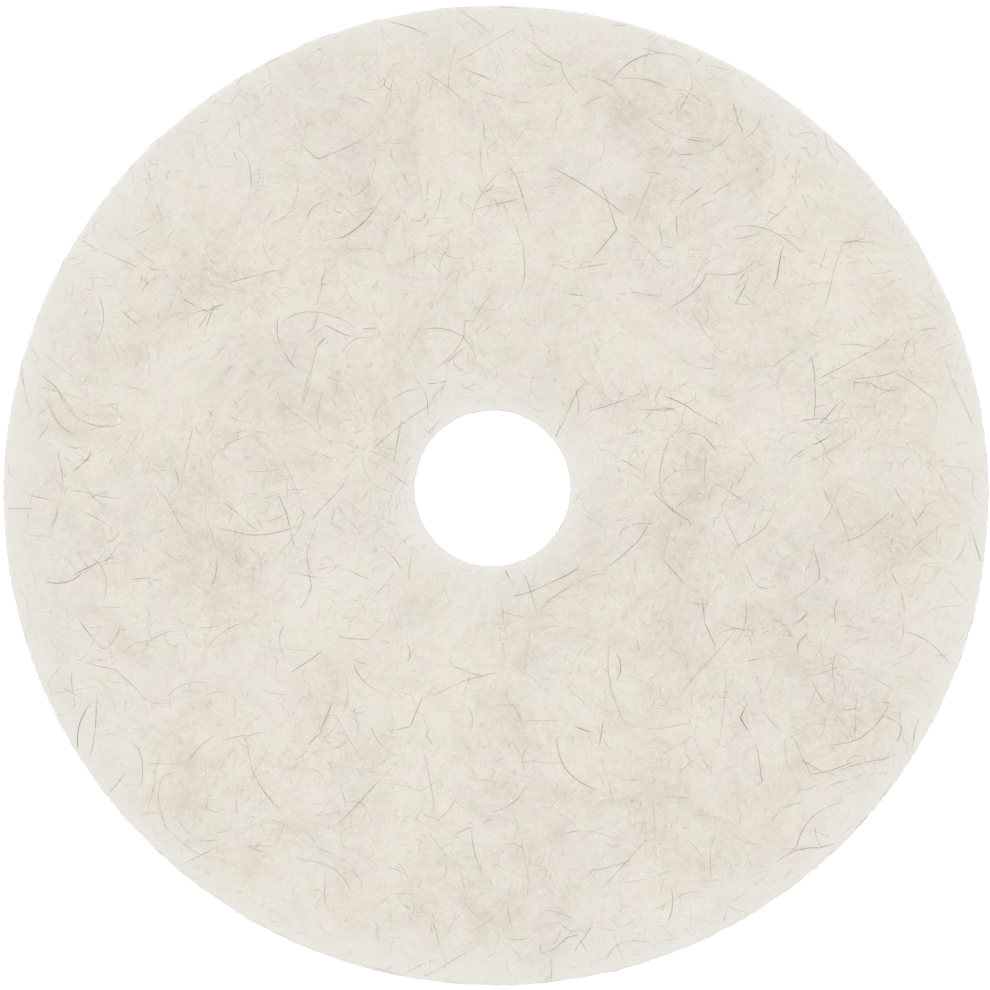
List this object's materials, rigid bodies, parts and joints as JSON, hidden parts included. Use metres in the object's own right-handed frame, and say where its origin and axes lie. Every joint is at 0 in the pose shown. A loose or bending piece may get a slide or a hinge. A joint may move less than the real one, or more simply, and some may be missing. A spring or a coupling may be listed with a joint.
{
  "type": "hair-blend polishing pad",
  "caption": "Round cream non-woven polishing pad with coarse brown hairs in its faces and a plain centre hole, for a pad driver.",
  "frame": {"origin": "centre of the centre hole, on its axis and halfway through the pad's thickness", "axes": "+Z along the hole's axis, up through the pad as it lies on its lower face; +Y is the top of the face as it is usually pictured, and +X its right"},
  "size_m": [0.5079, 0.508, 0.0254],
  "materials": {
    "face_web": "matt, lofty non-woven of crimped polyester fibre with tan and cream mottling",
    "core_web": "matt, white lofty non-woven",
    "dark_hair": "satin animal hair, dark brown",
    "tan_hair": "satin animal hair, tan"
  },
  "bodies": {
    "root": {"top_face_web": "face_web", "bottom_face_web": "face_web", "core_ply_1": "core_web", "core_ply_2": "core_web", "core_ply_3": "core_web", "core_ply_4": "core_web", "core_ply_5": "core_web", "core_ply_6": "core_web", "top_dark_hairs": "dark_hair", "bottom_dark_hairs": "dark_hair", "top_tan_hairs": "tan_hair", "bottom_tan_hairs": "tan_hair"}
  },
  "joints": []
}
